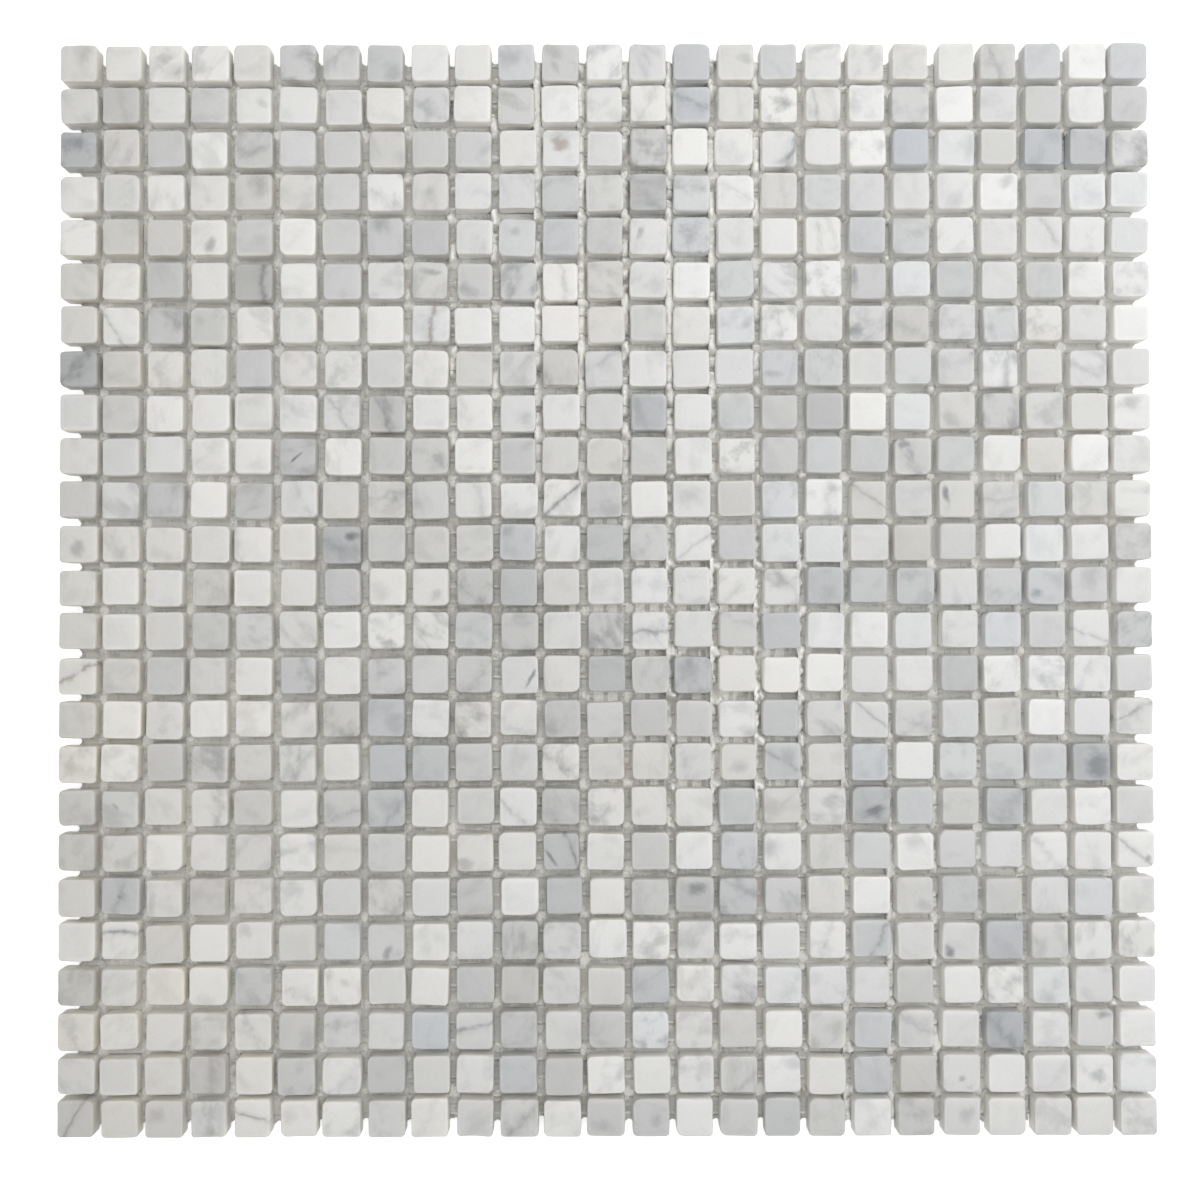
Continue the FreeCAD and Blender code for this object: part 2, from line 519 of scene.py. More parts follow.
def lattice(cell):
    """A smooth random field over the sheet, from 0 to 1, with features as large as cell.

    Where it is read, a factor on x stretches it across a joint, and a number added to a place only
    makes it differ from other reads.
    """
    half = SHEET_HALF + FIELD_MARGIN
    count = int(2 * half / cell) + 3
    knots = rng.random((count, count))

    def read(x, y):
        u, v = (x + half) / cell, (y + half) / cell
        i, j = np.floor(u).astype(int), np.floor(v).astype(int)
        s, t = smoothstep(0, 1, u - i), smoothstep(0, 1, v - j)
        i, j, i_next, j_next = i % count, j % count, (i + 1) % count, (j + 1) % count
        low = knots[i, j] * (1 - s) + knots[i_next, j] * s
        high = knots[i, j_next] * (1 - s) + knots[i_next, j_next] * s
        return low * (1 - t) + high * t

    return read


# Glue in the joints, in millimetres, with places across a joint from -1 to 1
GLUE_LEVEL = 0.68
GLUE_DIP = 0.04
GLUE_EDGE_LOW = 0.03
FILLET = (0.6, 1.1)
COLUMN_ACROSS = (-1.36, -0.98, -0.6, -0.2, 0.2, 0.6, 0.98, 1.36)
COLUMN_STEP = 0.55
COLUMN_FILLET = (0.4, 0.45)
ROW_ACROSS = (-1.36, -0.95, -0.5, 0.0, 0.5, 0.95, 1.36)
ROW_STEP = 0.68
ROW_SHORT_OF_CHIP = 0.1
ROW_FILLET = (0.5, 0.25)

# How far the glue runs past the mesh, as a middle and a spread, and the bow of its ends
END_UPRIGHT = (0.4, 0.3)
END_LEFT = (0.4, 0.25)
END_RIGHT = (0.0, 0.2)
END_BOW = 0.8
END_BOW_LIMIT = 1.1
END_REACH = 4.0
COLUMN_END_UNEVEN = 0.5
ROW_END_UNEVEN = 0.4

# Lumps at the crossings, and how much larger they are where glue has squeezed up
LUMP_SHARE = (0.8, 0.2)
LUMP_HEIGHT = (1.2, 5.0)
LUMP_REACH = (0.8, 1.4)
LUMP_LENGTH = (1.0, 2.0)
LUMP_TONE = (0.5, 2.8)
LUMP_TONE_SHARE = (0.25, 0.75)
LOW_LUMP = 0.15
SQUEEZED_HEIGHT = 2.3
SQUEEZED_REACH = 0.3
SQUEEZED_TONE = 0.9
LUMP_WANDER_X = 0.18
LUMP_WANDER_Y = 0.3
LUMP_UNEVEN = 1.3
LUMP_RAGGED = 0.9
LUMP_ROUNDNESS = 0.8
LUMP_COVER = (0.0, 0.35)
LUMP_MOTTLE = (0.75, 0.5)

# Beads along the upright joints: low ones, and tall rods where there is most glue
BEAD_SHIFT = (-0.2, 0.14)
BEAD_WANDER = 0.35
BEAD_HALF = 0.78
BEAD_HEIGHT = 1.0
BEAD_UNEVEN = (0.6, 0.7)
BEAD_ROUNDNESS = 0.4
BEAD_CREAM = 0.75
BEAD_COVER = (0.05, 0.4)
BEAD_GRAIN = 0.3
BEAD_START = 0.12
COARSE_BREAKS = 0.65
FINE_BREAKS = 0.35
BREAK_SOFTNESS = 0.14
CREAMY_SPREAD = 0.1
ROD_EXTRA_HALF = 0.34
ROD_HEIGHT = 4.4
HIGHEST_ROD = 6.6
ROD_CREAM = 1.1
ROD_UNBROKEN = 0.6
FILM_GRAIN = 0.12
LEFT_CREAM = 0.32

# Ragged ridges on the left of the upright joints
RIDGE_HEIGHT = 5.0
RIDGE_UNEVEN = (0.5, 0.7)
RIDGE_MIDDLE = -0.8
RIDGE_WANDER = 0.9
RIDGE_RAGGED = 0.6
RIDGE_FLANK = (0.15, -0.35)
RIDGE_BREAKS = (0.15, 0.4)
RIDGE_COVER = (0.05, 0.3)
RIDGE_CREAM = 1.8

# Painted shadow below the pale knots in the upright joints, and the knots where strands show in the glue
SHADOW_BANDS_HIDDEN = 0.7
KNOT_PATCHES = (0.3, 0.55)
KNOT_HALF = (1.1, 0.5)

# Lumps, rods and pale film in parts of the sheet
LUMPS_ALL_OVER = 0.25
LUMPS_AT_TOP = 0.45
LUMPS_AT_RIGHT = 0.65
LESS_AT_UPPER_RIGHT = 0.6
RODS_AT_TOP = 0.7
RODS_AT_RIGHT = 0.5
RODS_AT_STRANDS = 0.2
PALE_AT_TOP = 0.4

# Film and pale blocks in the level joints
ROW_GRAIN = 0.06
ROW_WAVES = 0.12
BLOCK_SHARE = 0.95
STRAY_BLOCK_SHARE = 0.06
BLOCK_SOFTNESS = (0.0, 0.1)
BLOCK_BREAKS = (0.1, 0.35)
BLOCK_HEIGHT = 0.3
BLOCK_CREAM = 1.05
FILM_DARK_SPREAD = 0.2
FILM_DARK_MIDDLE = 0.35

# Underside of the glue
BACK_LEVEL = 0.43
BACK_STEPS_PER_CHIP = 6
BACK_WAVES = 0.07
BACK_AT_JOINTS = -0.05
BACK_CREAM = (0.35, 0.4)
BACK_CREAM_SPREAD = 0.5


def region(x, y, left=None, right=None, bottom=None, top=None):
    """How much a place belongs to a part of the sheet: each edge is where it starts and is full."""
    share = 1.0
    for value, edge in ((x, left), (x, right), (y, bottom), (y, top)):
        if edge:
            share = share * smoothstep(*edge, value)
    return share


def strand_share(x, y):
    """Where strands show in the glue of the upright joints: not on the left, nor at the upper right."""
    return region(x, y, left=(-75, -40)) * (1 - region(x, y, left=(35, 60), bottom=(-45, -15)))


def rod_share(x, y):
    """How much of an upright joint holds a bead of cream glue: most of it at the middle of the top."""
    top = RODS_AT_TOP * region(x, y, left=(-90, -35), right=(75, 35), bottom=(-10, 60))
    right = RODS_AT_RIGHT * region(x, y, left=(10, 80), right=(125, 95), top=(-20, -70))
    return np.clip(RODS_AT_STRANDS * strand_share(x, y) + top + right, 0, 1)


def pale_share(x, y):
    """How pale the film of glue is: paler at both sides of the sheet and at its top."""
    sides = region(x, y, right=(-40, -95)) + region(x, y, left=(20, 55))
    return np.clip(sides + PALE_AT_TOP * region(x, y, bottom=(40, 80)), 0, 1)


def lump_share(x, y):
    """How thick the glue is at a crossing: thick at the top and on the right, thin at the bottom left."""
    top = LUMPS_AT_TOP * region(x, y, bottom=(20, 80))
    right = LUMPS_AT_RIGHT * region(x, y, left=(-10, 30))
    right = right * (1 - LESS_AT_UPPER_RIGHT * region(x, y, left=(45, 75), bottom=(-60, -20)))
    return np.clip(LUMPS_ALL_OVER + top + right, 0, 1)


def ridge_share(x, y):
    """Where glue has squeezed up along the right side of the chips."""
    return region(x, y, left=(8, 20), right=(75, 55), bottom=(-75, -55), top=(22, 10))


def block_share(x, y):
    """Where the level joints show pale blocks of glue between the strands."""
    return region(x, y, left=(-12, 0), right=(62, 48), bottom=(-62, -50), top=(22, 12))


def column_joint(column):
    """Middle of the upright joint to the right of a column of chips."""
    return (column + 1) * PITCH - SHEET_HALF - JOINT / 2


def row_joint(row):
    """Middle of the level joint below a row of chips."""
    return SHEET_HALF + JOINT / 2 - (row + 1) * PITCH


def glue_fields():
    """Random traits of the glue in the joints, shared by its pieces."""
    crossings = (ROW_COUNT - 1, COLUMN_COUNT - 1)
    level_joints = (ROW_COUNT - 1, COLUMN_COUNT)
    right_sides = column_joint(np.arange(COLUMN_COUNT - 1)) + JOINT / 2
    lower_sides = row_joint(np.arange(ROW_COUNT - 1)) - JOINT / 2
    x, y = np.meshgrid(right_sides, lower_sides)
    thick = lump_share(x, y)
    squeezed = ridge_share(x, y)
    fields = {name: lattice(cell) for name, cell in FIELD_CELLS.items()}
    has_lump = rng.random(crossings) < varied(LUMP_SHARE, squeezed)
    height = spread(LUMP_HEIGHT, crossings) * thick + SQUEEZED_HEIGHT * squeezed
    fields.update(
        lump=np.where(has_lump, height, LOW_LUMP),
        lump_x=rng.normal(0, LUMP_WANDER_X, crossings),
        lump_y=rng.normal(0, LUMP_WANDER_Y, crossings),
        lump_reach=spread(LUMP_REACH, crossings) + SQUEEZED_REACH * squeezed,
        lump_length=spread(LUMP_LENGTH, crossings),
        lump_tone=spread(LUMP_TONE, crossings) * varied(LUMP_TONE_SHARE, thick) + SQUEEZED_TONE * squeezed,
        end_top=rng.normal(*END_UPRIGHT, COLUMN_COUNT - 1),
        end_bottom=rng.normal(*END_UPRIGHT, COLUMN_COUNT - 1),
        end_left=rng.normal(*END_LEFT, ROW_COUNT - 1),
        end_right=rng.normal(*END_RIGHT, ROW_COUNT - 1),
        creamy=rng.normal(0, CREAMY_SPREAD, COLUMN_COUNT - 1),
        bead_shift=rng.normal(*BEAD_SHIFT, COLUMN_COUNT - 1),
        pale=rng.uniform(0, 1, level_joints),
        tone=rng.uniform(0, 1, level_joints),
    )
    return fields


def lumps(fields, x, y):
    """Height of the lumps of glue at the crossings, and how creamy they make a place."""
    column = np.clip(np.round((x + SHEET_HALF + JOINT / 2) / PITCH).astype(int) - 1, 0, COLUMN_COUNT - 2)
    row = np.clip(np.round((SHEET_HALF + JOINT / 2 - y) / PITCH).astype(int) - 1, 0, ROW_COUNT - 2)
    lump = {name: fields[name][row, column] for name in fields if name.startswith("lump")}
    across = (x - column_joint(column) - lump["lump_x"]) / lump["lump_reach"]
    along = (y - row_joint(row) - lump["lump_y"]) / lump["lump_length"]
    uneven = LUMP_UNEVEN * (fields["middle"](x + 21, y) - 0.5)
    uneven += LUMP_RAGGED * (fields["fine"](x + 21, y) - 0.5)
    inside = np.clip(1 - across ** 2 - along ** 2 + uneven, 0, 1)
    tone = lump["lump_tone"] * varied(LUMP_MOTTLE, fields["coarse"](x + 5, y))
    return lump["lump"] * inside ** LUMP_ROUNDNESS, smoothstep(*LUMP_COVER, inside) * tone


def fillet(across, least_and_extra, share):
    """Rise of the glue against the sides of the chips."""
    return smoothstep(*FILLET, np.abs(across)) * varied(least_and_extra, share)


def end_bow(fields, across, x, y, uneven):
    """How far the end of the glue in a joint reaches out beside the chips, and how raggedly."""
    beside = END_BOW * np.clip(np.abs(across), 0, END_BOW_LIMIT) ** 2
    return beside + uneven * (fields["coarse"](x, y) - 0.5)


def join_patches(name, patches, material, flip=False):
    """One object from patches of glue, each a grid of places, heights and what the material reads."""
    vertices, looks, faces, start = [], [], [], 0
    for x, y, height, look in patches:
        rows, columns = x.shape
        vertices.append(np.column_stack([x.ravel(), y.ravel(), height.ravel()]))
        looks.append(np.column_stack([part.ravel() for part in look]))
        index = start + np.arange(rows * columns).reshape(rows, columns)
        corners = (index[:-1, :-1], index[:-1, 1:], index[1:, 1:], index[1:, :-1])
        quads = np.column_stack([corner.ravel() for corner in corners])
        faces.append(quads[:, ::-1] if flip else quads)
        start += rows * columns
    values = {"glue_look": np.vstack(looks)}
    made = make_object(name, np.vstack(vertices), np.vstack(faces).tolist(), material, values)
    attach(made, "root")


def upright_bead(fields, column, across, x, y):
    """Height of the bead along an upright joint, its form across, its creaminess and its shift aside."""
    rod = rod_share(x, y)
    broken = COARSE_BREAKS * fields["coarse"](x * 0.25 + 17 * column % 90, y)
    broken = broken + FINE_BREAKS * fields["middle"](x * 0.3, y)
    left_over = BEAD_START + ROD_UNBROKEN * rod + fields["creamy"][column] - broken
    there = smoothstep(0.0, BREAK_SOFTNESS, left_over)
    shift = fields["bead_shift"][column] + BEAD_WANDER * (fields["coarse"](x, y) - 0.5)
    form = np.clip(1 - ((across - shift) / (BEAD_HALF + ROD_EXTRA_HALF * rod)) ** 2, 0, 1)
    tall = (BEAD_HEIGHT + ROD_HEIGHT * rod ** 2) * varied(BEAD_UNEVEN, fields["middle"](x + 9, y))
    height = np.minimum(tall, HIGHEST_ROD) * there * form ** BEAD_ROUNDNESS
    creamy = there * smoothstep(*BEAD_COVER, form) * (BEAD_CREAM + ROD_CREAM * rod)
    return height, there * form, creamy, shift


def squeezed_ridge(fields, column, across, x, y):
    """How much of the ragged ridge on the left of an upright joint there is."""
    flank = RIDGE_MIDDLE + RIDGE_WANDER * fields["middle"](x * 0.1, y + 11 * column % 60)
    flank = flank + RIDGE_RAGGED * fields["fine"](x * 0.1, y)
    unbroken = smoothstep(*RIDGE_BREAKS, fields["coarse"](x * 0.1, y + 7 * column % 50))
    return ridge_share(x, y) * unbroken * smoothstep(*RIDGE_FLANK, across - flank)


def strand_marks(fields, off_bead, covered, x, y):
    """Where painted shadow darkens the glue of an upright joint just below its knots, and where strands
    show as pale knots.
    """
    shown = strand_share(x, y)
    shadow_bands = fields["coarse"](x + 40, y) * (1 - SHADOW_BANDS_HIDDEN * np.clip(covered, 0, 1))
    knots = smoothstep(*KNOT_PATCHES, fields["coarse"](x + 80, y + 33)) * smoothstep(*KNOT_HALF, off_bead)
    return shadow_bands * shown, knots * shown


def make_glue_columns(fields, material):
    """Glue in the upright joints: a granular cream bead along each, with lumps at the crossings."""
    patches = []
    along = np.linspace(MESH_BOTTOM, MESH_TOP, int((MESH_TOP - MESH_BOTTOM) / COLUMN_STEP) + 1)
    at_top = smoothstep(END_REACH, 0.0, MESH_TOP - along)[:, None]
    at_bottom = smoothstep(END_REACH, 0.0, along - MESH_BOTTOM)[:, None]
    for column in range(COLUMN_COUNT - 1):
        across, y = np.meshgrid(COLUMN_ACROSS, along)
        x = column_joint(column) + across * JOINT / 2
        bead, bead_form, creamy, shift = upright_bead(fields, column, across, x, y)
        lump, covered = lumps(fields, x, y)
        ridge = squeezed_ridge(fields, column, across, x, y)
        height = np.maximum(bead, lump)
        height += (FILM_GRAIN + BEAD_GRAIN * bead_form) * (fields["fine"](x, y) - 0.5)
        height += fillet(across, COLUMN_FILLET, fields["middle"](x, y + 5))
        ridge_height = RIDGE_HEIGHT * ridge * varied(RIDGE_UNEVEN, fields["middle"](x + 31, y))
        height = GLUE_LEVEL + np.maximum(np.maximum(height, ridge_height), -GLUE_DIP)
        height[[0, -1]] = GLUE_EDGE_LOW
        on_ridge = RIDGE_CREAM * smoothstep(*RIDGE_COVER, ridge)
        on_left = LEFT_CREAM * region(x, y, right=(-60, -95))
        creamy = np.maximum.reduce([creamy, covered, on_ridge, on_left])
        bow = end_bow(fields, across, x, y, COLUMN_END_UNEVEN)
        y = y + (bow + fields["end_top"][column]) * at_top
        y = y - (bow + fields["end_bottom"][column]) * at_bottom
        shadow_bands, knots = strand_marks(fields, np.abs(across - shift), covered, x, y)
        patches.append((x, y, height, (creamy, shadow_bands, 1 + knots)))
    join_patches("glue_in_columns", patches, material)


def make_glue_rows(fields, material):
    """Glue in the level joints between the upright ones: a thin grey film, with pale blocks in places."""
    patches = []
    reach = SIDE / 2 - ROW_SHORT_OF_CHIP
    last = COLUMN_COUNT - 1
    for row in range(ROW_COUNT - 1):
        for column in range(COLUMN_COUNT):
            low = MESH_LEFT if column == 0 else column_middle(column) - reach
            high = MESH_RIGHT if column == last else column_middle(column) + reach
            along = np.linspace(low, high, int((high - low) / ROW_STEP) + 1)
            x, across = np.meshgrid(along, ROW_ACROSS)
            y = row_joint(row) + across * JOINT / 2
            lump, covered = lumps(fields, x, y)
            blocks = BLOCK_SHARE * block_share(x, y) + STRAY_BLOCK_SHARE - fields["pale"][row, column]
            unbroken = smoothstep(*BLOCK_BREAKS, fields["coarse"](x, y))
            block = smoothstep(*BLOCK_SOFTNESS, blocks) * unbroken
            height = GLUE_LEVEL + lump + BLOCK_HEIGHT * block
            height += ROW_GRAIN * (fields["fine"](x, y) - 0.5) + ROW_WAVES * fields["middle"](x, y)
            height += fillet(across, ROW_FILLET, fields["coarse"](x + 7, y))
            bow = end_bow(fields, across, x, y, ROW_END_UNEVEN)
            if column == 0:
                x = x - (bow + fields["end_left"][row]) * smoothstep(END_REACH, 0.0, along - MESH_LEFT)
                height[:, 0] = GLUE_EDGE_LOW
            if column == last:
                x = x + (bow + fields["end_right"][row]) * smoothstep(END_REACH, 0.0, MESH_RIGHT - along)
                height[:, -1] = GLUE_EDGE_LOW
            dark = FILM_DARK_SPREAD * fields["tone"][row, column]
            dark = dark + FILM_DARK_MIDDLE * (1 - pale_share(x, y))
            creamy = np.maximum(covered, BLOCK_CREAM * block)
            patches.append((x, y, height, (creamy, np.zeros(x.shape), -dark)))
    join_patches("glue_in_rows", patches, material)


def off_joint(value):
    """Distance to the middle of the nearest joint."""
    return np.abs(value % PITCH - PITCH / 2)


def make_glue_back(fields, material):
    """Underside of the glue, which the strands of the mesh lie half sunk in."""
    step = PITCH / BACK_STEPS_PER_CHIP
    x = np.arange(math.ceil(MESH_LEFT / step), math.floor(MESH_RIGHT / step) + 1) * step
    y = np.arange(math.ceil(MESH_BOTTOM / step), math.floor(MESH_TOP / step) + 1) * step
    x, y = np.meshgrid(x, y)
    joint = smoothstep(JOINT, 0.0, np.minimum(off_joint(x), off_joint(y)))
    height = BACK_LEVEL + BACK_WAVES * (fields["middle"](x, y) - 0.5) + BACK_AT_JOINTS * joint
    creamy = varied(BACK_CREAM, joint) + BACK_CREAM_SPREAD * (fields["coarse"](x, y) - 0.5)
    none = np.zeros(x.shape)
    patches = [(x, y, height, (np.clip(creamy, 0, 1), none, none))]
    join_patches("glue_on_back", patches, material, flip=True)


class Graph:
    """A short way to write a material's nodes and links."""

    def __init__(self, name):
        self.material = bpy.data.materials.new(name)
        self.material.use_nodes = True
        self.tree = self.material.node_tree
        self.tree.nodes.clear()

    def add(self, kind, settings=None, **inputs):
        node = self.tree.nodes.new(kind)
        for name, value in (settings or {}).items():
            setattr(node, name, value)
        for name, value in inputs.items():
            self.put(node, name.replace("_", " "), value)
        return node

    def put(self, node, key, value):
        socket = node.inputs[key]
        if isinstance(value, bpy.types.NodeSocket):
            self.tree.links.new(value, socket)
        else:
            socket.default_value = value

    def math(self, operation, *values, kind="ShaderNodeMath"):
        node = self.add(kind, {"operation": operation})
        for index, value in enumerate(values):
            self.put(node, index, value)
        return node.outputs["Value"] if operation == "DISTANCE" else node.outputs[0]

    def vector_math(self, operation, *values):
        return self.math(operation, *values, kind="ShaderNodeVectorMath")

    def times(self, first, second):
        return self.math("MULTIPLY", first, second)

    def plus(self, value, *parts):
        """The value with a share of an amount added to it, or more such."""
        for share, amount in parts:
            value = self.math("MULTIPLY_ADD", share, amount, value)
        return value

    def shaken(self, value, noise, amount):
        """The value moved both ways by a noise that runs from 0 to 1."""
        return self.plus(value, (self.math("SUBTRACT", noise, 0.5), amount))

    def place(self):
        return self.add("ShaderNodeTexCoord").outputs["Object"]

    def attribute(self, name):
        return self.add("ShaderNodeAttribute", {"attribute_name": name}).outputs["Vector"]

    def parts(self, vector):
        return self.add("ShaderNodeSeparateXYZ", Vector=vector).outputs

    def noise(self, place, scale, detail, roughness, output="Fac"):
        settings = {"Scale": scale, "Detail": detail, "Roughness": roughness}
        return self.add("ShaderNodeTexNoise", Vector=place, **settings).outputs[output]

    def ramp(self, value, start, end, low=0.0, high=1.0):
        """A smooth change from low to high while the value goes from start to end."""
        ends = {"From_Min": start, "From_Max": end, "To_Min": low, "To_Max": high}
        settings = {"interpolation_type": "SMOOTHSTEP"}
        return self.add("ShaderNodeMapRange", settings, Value=value, **ends).outputs[0]

    def mix(self, share, first, second):
        node = self.add("ShaderNodeMix", {"data_type": "RGBA"})
        self.put(node, 0, share)
        self.put(node, 6, first)
        self.put(node, 7, second)
        return node.outputs[2]

    def output(self, shader):
        self.add("ShaderNodeOutputMaterial", Surface=shader.outputs[0])
        return self.material

    def surface(self, colour, height, strength, depth, roughness, specular):
        """The finished material: a matt surface with a fine bump."""
        bump = self.add("ShaderNodeBump", Height=height, Strength=strength, Distance=depth)
        shader = self.add("ShaderNodeBsdfPrincipled", Base_Color=colour, Roughness=roughness)
        self.put(shader, "Specular IOR Level", specular)
        self.put(shader, "Normal", bump.outputs["Normal"])
        return self.output(shader)


# Patterns of the marble per millimetre, and what they add to its brightness and coolness
CLOUD_SCALE = 0.22
CLOUD_PART = (0.44, 0.74)
CLOUD_LEVEL = -0.05
CLOUD_COOL = 0.002
CLEAR_LEVEL = 0.012
WARP_SCALE = 0.35
VEIN_WARP = 5.0
VEIN_FADE = (0.3, 0.6, 0.35, 1.0)
SPOT_WARP = 2.2
SPOT_EDGE = (1.7, 0.2)
MARK_LEVEL = -0.21
MARK_COOL = 0.016
GRAIN_LEVEL = 0.045
RUST = (0.71, 0.63, 0.58, 1)
RUST_PART = (0.2, 1.1)
COOL_DIRECTION = (-0.44, -0.11, 0.55)
GREEN = (0.0, 0.002, 0.0)
PICTURE_GAMMA = 2.2

# Painted light on a chip's sides and rims, by the depth below the face in millimetres: the sides are
# painted lighter and warmer just below the rim and lighter and cooler further down, for light that passes
# through the stone, and the rims a little whiter, partly bruised stone and partly painted highlight
EDGE_BRUISE_AND_HIGHLIGHT = 0.012
WALL_LIGHT_START = (0.3, 1.2)
WALL_PAINTED_LIGHT = 0.1
WALL_PAINTED_LIGHT_COOL = -0.025
DEEP_LIGHT_START = 1.0
DEEP_PAINTED_LIGHT = 0.07
DEEP_PAINTED_LIGHT_COOL = 0.038
BRIGHTEST = 0.975

# Fine patterns per metre of the sheet
GRAIN_SCALE = 2200.0
GLUE_MOTTLE_SCALE = 620.0
GLUE_GRAIN_SCALE = 2300.0
THREAD_SCALE = 2300.0
STREAK_SCALE = 1300.0
TAN_SCALE = 75.0
MESH_MOTTLE_SCALE = 700.0


def marble_material():
    """White to grey marble: cloudy, a little veined, fine-grained, with painted light on its sides and
    whiter rims, partly bruised stone and partly painted highlight.
    """
    g = Graph("tumbled_marble")
    place = g.attribute("stone_place")
    level, cool, cloud = g.parts(g.attribute("stone_look"))
    vein, spot, rust = g.parts(g.attribute("stone_marks"))
    depth, edge, _ = g.parts(g.attribute("stone_side"))
    clouds = g.times(g.ramp(g.noise(place, CLOUD_SCALE, 3.0, 0.55), *CLOUD_PART), cloud)
    grain = g.noise(g.place(), GRAIN_SCALE, 2.0, 0.6)
    warp = g.noise(place, WARP_SCALE, 2.0, 0.6, "Color")
    warp_x, warp_y, _ = g.parts(warp)

    across = g.shaken(g.parts(g.attribute("vein_place"))["X"], warp_x, VEIN_WARP)
    band = g.math("DIVIDE", 1.0, g.math("MULTIPLY_ADD", across, across, 1.0))
    vein = g.times(g.times(band, g.ramp(warp_y, *VEIN_FADE)), vein)
    to_spot = g.vector_math("MULTIPLY_ADD", warp, (SPOT_WARP, SPOT_WARP, 0.0), g.attribute("spot_place"))
    to_spot = g.vector_math("DISTANCE", to_spot, (SPOT_WARP / 2, SPOT_WARP / 2, 0.0))
    marked = g.math("MAXIMUM", vein, g.times(g.ramp(to_spot, *SPOT_EDGE), spot))
    # Painted light: the sides are made lighter and warmer just below the rim, and lighter and cooler
    # further down.
    painted_wall_light = g.ramp(depth, *WALL_LIGHT_START)
    painted_deep_light = g.ramp(depth, DEEP_LIGHT_START, STONE_FACE - STONE_BACK)

    value = g.plus(g.math("ADD", level, CLEAR_LEVEL), (clouds, CLOUD_LEVEL))
    value = g.shaken(value, grain, GRAIN_LEVEL)
    # Rims made whiter: partly bruised stone, partly painted highlight.
    value = g.plus(value, (marked, MARK_LEVEL), (edge, EDGE_BRUISE_AND_HIGHLIGHT), (painted_wall_light, WALL_PAINTED_LIGHT), (painted_deep_light, DEEP_PAINTED_LIGHT))
    value = g.math("MINIMUM", value, BRIGHTEST)
    cool = g.plus(cool, (marked, MARK_COOL), (clouds, CLOUD_COOL), (painted_wall_light, WALL_PAINTED_LIGHT_COOL), (painted_deep_light, DEEP_PAINTED_LIGHT_COOL))

    colour = g.vector_math("MULTIPLY_ADD", cool, COOL_DIRECTION, g.vector_math("ADD", value, GREEN))
    colour = g.mix(g.times(rust, g.ramp(marked, *RUST_PART)), colour, RUST)
    colour = g.add("ShaderNodeGamma", Color=colour, Gamma=PICTURE_GAMMA).outputs[0]
    return g.surface(colour, grain, strength=0.3, depth=0.12 * MM, roughness=0.6, specular=0.3)


# Colours of the glue, of its film, of the painted shadow below its knots, and of the strands of the mesh
OLIVE = (0.68, 0.675, 0.64, 1)
OLIVE_DARK = (0.47, 0.468, 0.45, 1)
TAN = (0.62, 0.585, 0.54, 1)
CREAM = (0.93, 0.92, 0.87, 1)
CREAM_DULL = (0.70, 0.69, 0.64, 1)
CHALK = (0.962, 0.957, 0.925, 1)
CHALK_DULL = (0.828, 0.82, 0.788, 1)
PAINTED_SHADOW = (0.33, 0.32, 0.295, 1)
PAINTED_SHADOW_STRENGTH = 0.7
YARN = (0.70, 0.70, 0.65, 1)
YARN_DARK = (0.46, 0.46, 0.42, 1)

# Strands of the mesh under the glue, in metres
WARP_PITCH = 3.9 * MM
WARP_EDGE = (0.85 * MM, 0.5 * MM)
WARP_WANDER = 0.8 * MM
WEFT_PITCH = 5.07 * MM
WEFT_WANDER = 0.7 * MM
KNOT_LOW = (0.0, 0.15 * MM)
KNOT_HIGH = (0.85 * MM, 0.5 * MM)
# Where the painted shadow falls, just below each knot, and where it shows
SHADOW_BAND_LOW = (-0.6 * MM, -0.25 * MM)
SHADOW_BAND_HIGH = (0.12 * MM, -0.1 * MM)
SHADOW_BAND_PART = (0.3, 0.7)

# Kinds of glue, and the tone of its film by kind
UPRIGHT = (0.4, 0.6)
KNOTTED = (1.2, 1.6)
NOT_UPRIGHT = (0.2, 0.05)
FILM_BY_KIND = (-1.0, 0.2, -0.22, 0.26)
RIBS_BY_KIND = (0.4, 0.9, 0.25, 0.33)

# Parts and strengths of the glue's patterns
CREAM_PART = (0.2, 0.72)
CREAM_RAGGED = 1.1
CHALK_PART = (0.9, 1.4)
KNOT_CHALK = 0.6
GRAIN_PART = (0.34, 0.56)
FILM_PART = (0.3, 0.7)
TAN_PART = (0.5, 0.75, 0.0, 0.7)
THREADS = 0.5
STREAKS = 0.9
LONG_IN_X = (0.12, 1.0, 0.2, 1)
LONG_IN_Y = (1.0, 0.12, 0.2, 1)


